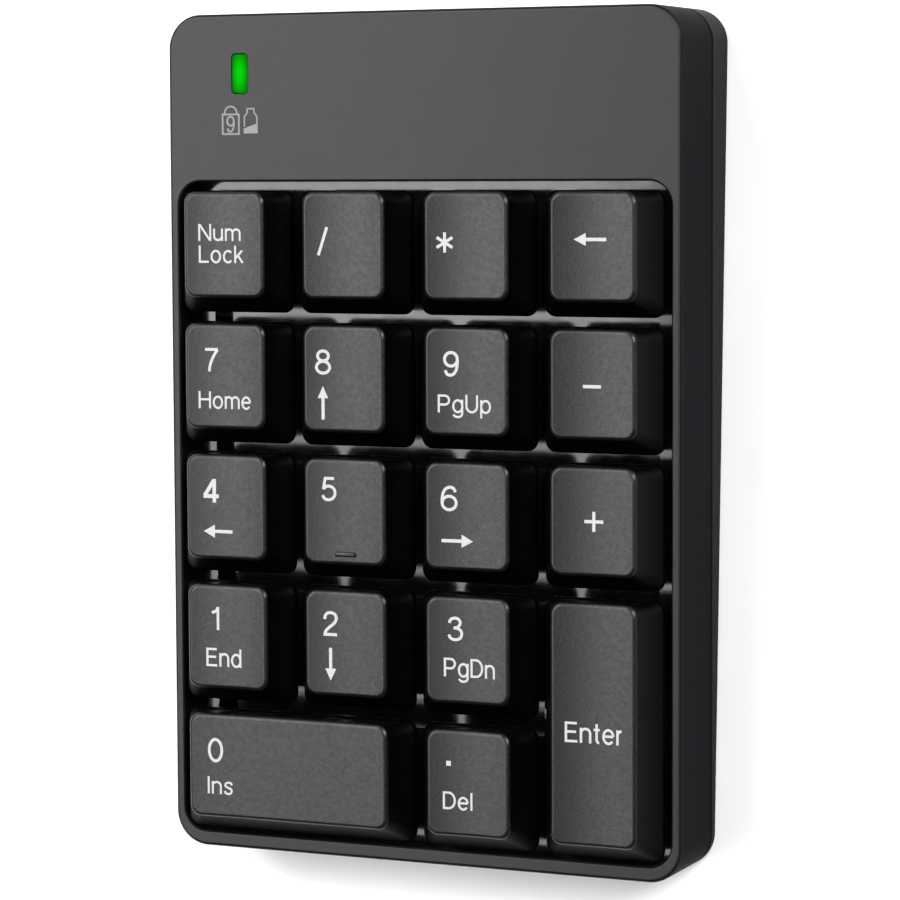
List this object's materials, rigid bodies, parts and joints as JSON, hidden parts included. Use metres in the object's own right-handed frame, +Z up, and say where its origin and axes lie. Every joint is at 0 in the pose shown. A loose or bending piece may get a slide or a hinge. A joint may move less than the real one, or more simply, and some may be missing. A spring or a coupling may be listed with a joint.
{
  "type": "numeric keypad",
  "caption": "Wireless numeric keypad with sculpted full-travel keys in a shallow wedge-shaped two-part case, an indicator window and a battery bay in the header.",
  "frame": {"origin": "on the desk plane under the feet, at the centre of the footprint", "axes": "+X to the typist's right, +Y away from the typist towards the header, +Z up out of the desk"},
  "size_m": [0.0798, 0.1232, 0.0243],
  "materials": {
    "upper_casing": "fine matte moulded grain, charcoal",
    "lower_casing": "fine matte moulded grain, near black",
    "deck_gloss": "polished black",
    "keycap": "fine matte grain, charcoal, with printed white legends",
    "bright_steel": "plain rolled steel",
    "contact_nickel": "nickel-plated spring steel",
    "screw_steel": "zinc-plated steel",
    "dome_silicone": "translucent grey silicone",
    "membrane_film": "clear polyester film with printed silver tracks",
    "battery_jacket": "plain printed jacket with no lettering",
    "lead_red": "insulated lead",
    "lead_black": "insulated lead",
    "board_laminate": "green solder mask over glass laminate",
    "component_black": "moulded component body",
    "component_can": "tinned steel can",
    "led_package": "white package, lit green",
    "lens_green": "lit green light guide",
    "moulded_black": "moulded plastic",
    "foot_rubber": "soft non-slip rubber"
  },
  "bodies": {
    "case": {"top_cover": "upper_casing", "bottom_cover": "lower_casing", "key_deck": "deck_gloss", "dome_mat": "dome_silicone", "membrane_upper": "membrane_film", "membrane_spacer": "membrane_film", "membrane_lower": "membrane_film", "backing_plate": "bright_steel", "battery_a": "battery_jacket", "battery_b": "battery_jacket", "contact_negative": "contact_nickel", "contact_positive": "contact_nickel", "contact_bridge": "contact_nickel", "lead_red": "lead_red", "lead_black": "lead_black", "circuit_board": "board_laminate", "controller_chip": "component_black", "crystal": "component_can", "capacitor": "component_black", "indicator_led": "led_package", "indicator_lens": "lens_green", "membrane_clamp": "moulded_black", "power_switch": "component_can", "foot_front_left": "foot_rubber", "foot_front_right": "foot_rubber", "foot_rear_left": "foot_rubber", "foot_rear_right": "foot_rubber", "case_screw_1": "screw_steel", "case_screw_2": "screw_steel", "case_screw_3": "screw_steel", "case_screw_4": "screw_steel", "case_screw_5": "screw_steel", "case_screw_6": "screw_steel", "clamp_screw_1": "screw_steel", "clamp_screw_2": "screw_steel"},
    "key_num_lock": {"key_num_lock": "keycap"},
    "key_divide": {"key_divide": "keycap"},
    "key_multiply": {"key_multiply": "keycap"},
    "key_backspace": {"key_backspace": "keycap"},
    "key_7": {"key_7": "keycap"},
    "key_8": {"key_8": "keycap"},
    "key_9": {"key_9": "keycap"},
    "key_minus": {"key_minus": "keycap"},
    "key_4": {"key_4": "keycap"},
    "key_5": {"key_5": "keycap"},
    "key_6": {"key_6": "keycap"},
    "key_plus": {"key_plus": "keycap"},
    "key_1": {"key_1": "keycap"},
    "key_2": {"key_2": "keycap"},
    "key_3": {"key_3": "keycap"},
    "key_enter": {"key_enter": "keycap"},
    "key_0": {"key_0": "keycap"},
    "key_decimal": {"key_decimal": "keycap"},
    "stabilizer_zero": {"stabilizer_wire_zero": "bright_steel"},
    "stabilizer_enter": {"stabilizer_wire_enter": "bright_steel"},
    "battery_door": {"battery_door": "lower_casing"},
    "power_slider": {"power_slider": "moulded_black", "power_switch_lever": "moulded_black"}
  },
  "joints": [
    {"name": "key_num_lock_press", "type": "slide", "parent": "case", "child": "key_num_lock", "axis": [0, 0.0426, -0.9991], "range_m": [0, 0.0034], "stiffness_N_per_m": 120, "springref_m": -0.002, "deforming": ["dome_mat"]},
    {"name": "key_divide_press", "type": "slide", "parent": "case", "child": "key_divide", "axis": [0, 0.0426, -0.9991], "range_m": [0, 0.0034], "stiffness_N_per_m": 120, "springref_m": -0.002, "deforming": ["dome_mat"]},
    {"name": "key_multiply_press", "type": "slide", "parent": "case", "child": "key_multiply", "axis": [0, 0.0426, -0.9991], "range_m": [0, 0.0034], "stiffness_N_per_m": 120, "springref_m": -0.002, "deforming": ["dome_mat"]},
    {"name": "key_backspace_press", "type": "slide", "parent": "case", "child": "key_backspace", "axis": [0, 0.0426, -0.9991], "range_m": [0, 0.0034], "stiffness_N_per_m": 120, "springref_m": -0.002, "deforming": ["dome_mat"]},
    {"name": "key_7_press", "type": "slide", "parent": "case", "child": "key_7", "axis": [0, 0.0426, -0.9991], "range_m": [0, 0.0034], "stiffness_N_per_m": 120, "springref_m": -0.002, "deforming": ["dome_mat"]},
    {"name": "key_8_press", "type": "slide", "parent": "case", "child": "key_8", "axis": [0, 0.0426, -0.9991], "range_m": [0, 0.0034], "stiffness_N_per_m": 120, "springref_m": -0.002, "deforming": ["dome_mat"]},
    {"name": "key_9_press", "type": "slide", "parent": "case", "child": "key_9", "axis": [0, 0.0426, -0.9991], "range_m": [0, 0.0034], "stiffness_N_per_m": 120, "springref_m": -0.002, "deforming": ["dome_mat"]},
    {"name": "key_minus_press", "type": "slide", "parent": "case", "child": "key_minus", "axis": [0, 0.0426, -0.9991], "range_m": [0, 0.0034], "stiffness_N_per_m": 120, "springref_m": -0.002, "deforming": ["dome_mat"]},
    {"name": "key_4_press", "type": "slide", "parent": "case", "child": "key_4", "axis": [0, 0.0426, -0.9991], "range_m": [0, 0.0034], "stiffness_N_per_m": 120, "springref_m": -0.002, "deforming": ["dome_mat"]},
    {"name": "key_5_press", "type": "slide", "parent": "case", "child": "key_5", "axis": [0, 0.0426, -0.9991], "range_m": [0, 0.0034], "stiffness_N_per_m": 120, "springref_m": -0.002, "deforming": ["dome_mat"]},
    {"name": "key_6_press", "type": "slide", "parent": "case", "child": "key_6", "axis": [0, 0.0426, -0.9991], "range_m": [0, 0.0034], "stiffness_N_per_m": 120, "springref_m": -0.002, "deforming": ["dome_mat"]},
    {"name": "key_plus_press", "type": "slide", "parent": "case", "child": "key_plus", "axis": [0, 0.0426, -0.9991], "range_m": [0, 0.0034], "stiffness_N_per_m": 120, "springref_m": -0.002, "deforming": ["dome_mat"]},
    {"name": "key_1_press", "type": "slide", "parent": "case", "child": "key_1", "axis": [0, 0.0426, -0.9991], "range_m": [0, 0.0034], "stiffness_N_per_m": 120, "springref_m": -0.002, "deforming": ["dome_mat"]},
    {"name": "key_2_press", "type": "slide", "parent": "case", "child": "key_2", "axis": [0, 0.0426, -0.9991], "range_m": [0, 0.0034], "stiffness_N_per_m": 120, "springref_m": -0.002, "deforming": ["dome_mat"]},
    {"name": "key_3_press", "type": "slide", "parent": "case", "child": "key_3", "axis": [0, 0.0426, -0.9991], "range_m": [0, 0.0034], "stiffness_N_per_m": 120, "springref_m": -0.002, "deforming": ["dome_mat"]},
    {"name": "key_enter_press", "type": "slide", "parent": "case", "child": "key_enter", "axis": [0, 0.0426, -0.9991], "range_m": [0, 0.0034], "stiffness_N_per_m": 120, "springref_m": -0.002, "deforming": ["dome_mat"]},
    {"name": "key_0_press", "type": "slide", "parent": "case", "child": "key_0", "axis": [0, 0.0426, -0.9991], "range_m": [0, 0.0034], "stiffness_N_per_m": 120, "springref_m": -0.002, "deforming": ["dome_mat"]},
    {"name": "key_decimal_press", "type": "slide", "parent": "case", "child": "key_decimal", "axis": [0, 0.0426, -0.9991], "range_m": [0, 0.0034], "stiffness_N_per_m": 120, "springref_m": -0.002, "deforming": ["dome_mat"]},
    {"name": "stabilizer_zero_turn", "type": "hinge", "parent": "case", "child": "stabilizer_zero", "pos_m": [-0.01905, -0.04772, 0.01244], "axis": [1, 0, 0], "range_deg": [0, 25.3]},
    {"name": "stabilizer_enter_turn", "type": "hinge", "parent": "case", "child": "stabilizer_enter", "pos_m": [0.02678, -0.04, 0.01277], "axis": [0, 0.9991, 0.0426], "range_deg": [0, 25.3]},
    {"name": "battery_door_turn", "type": "hinge", "parent": "case", "child": "battery_door", "pos_m": [0.00755, 0.03882, 0.00103], "axis": [-1, 0, 0], "range_deg": [0, 70]},
    {"name": "power_slide", "type": "slide", "parent": "case", "child": "power_slider", "axis": [1, 0, 0], "range_m": [0, 0.002]}
  ],
  "couplings": [
    {"joint": "stabilizer_zero_turn", "follows": "key_0_press", "rad_per_m": 129.7},
    {"joint": "stabilizer_enter_turn", "follows": "key_enter_press", "rad_per_m": 129.7}
  ]
}
